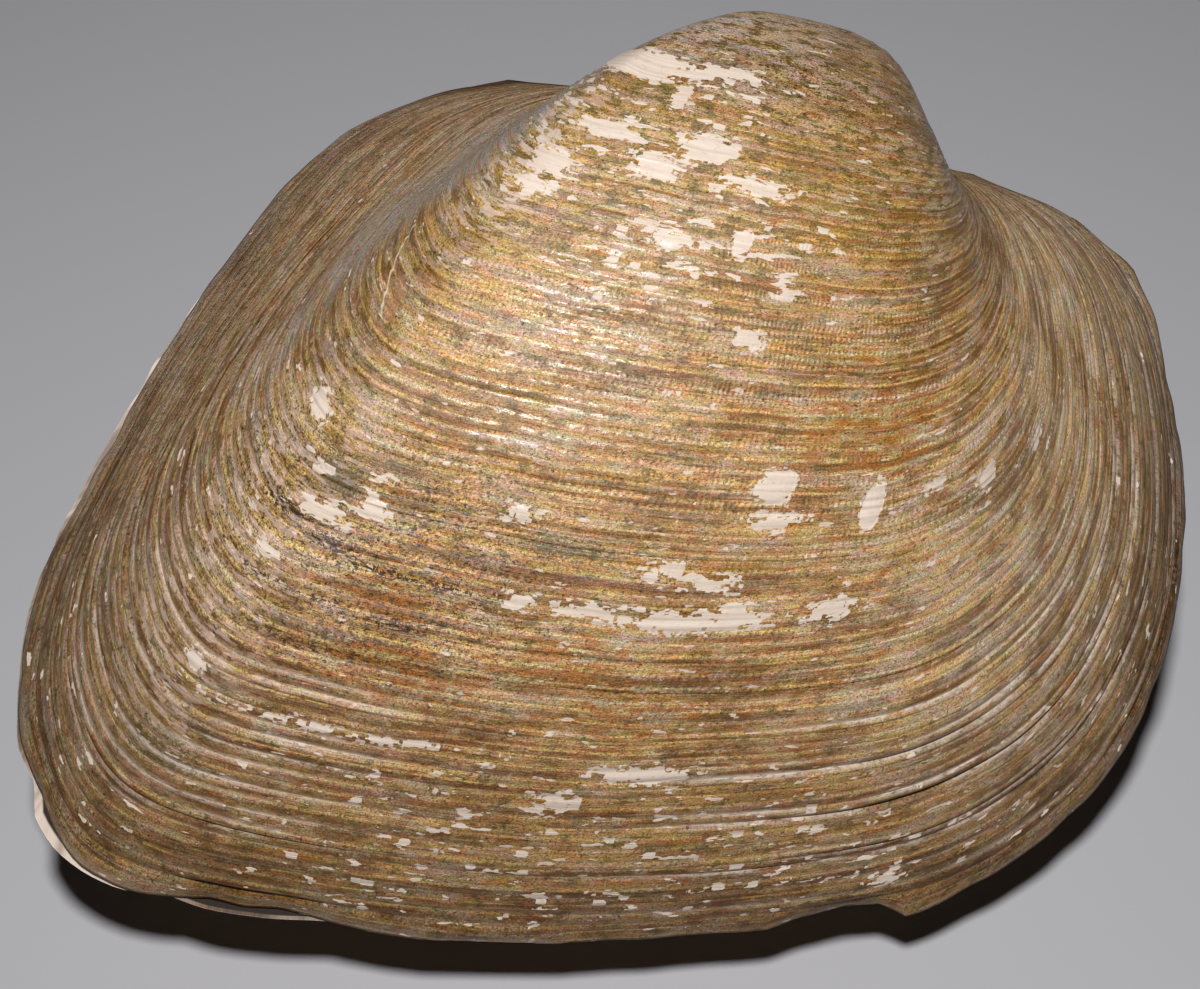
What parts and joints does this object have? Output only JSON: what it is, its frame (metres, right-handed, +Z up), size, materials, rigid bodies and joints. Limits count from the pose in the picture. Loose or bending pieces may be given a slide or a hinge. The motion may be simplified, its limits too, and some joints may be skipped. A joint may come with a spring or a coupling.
{
  "type": "fossil bivalve shell",
  "caption": "Closed fossil clam: two ribbed, inflated valves with curled beaks, growth ledges and short hinge wings, lying on one side.",
  "frame": {"origin": "centre of the bounding box in plan, on the surface that the shell lies on", "axes": "+X towards the shell's front end, +Y towards its hinge side, +Z up; the shell lies on its left valve"},
  "size_m": [0.1192, 0.0938, 0.0648],
  "materials": {
    "right_valve_shell": "dull ochre-brown fossil shell with chalky patches",
    "left_valve_shell": "dull grey-brown fossil shell with a pale worn edge"
  },
  "bodies": {
    "root": {"right_valve": "right_valve_shell", "left_valve": "left_valve_shell"}
  },
  "joints": []
}
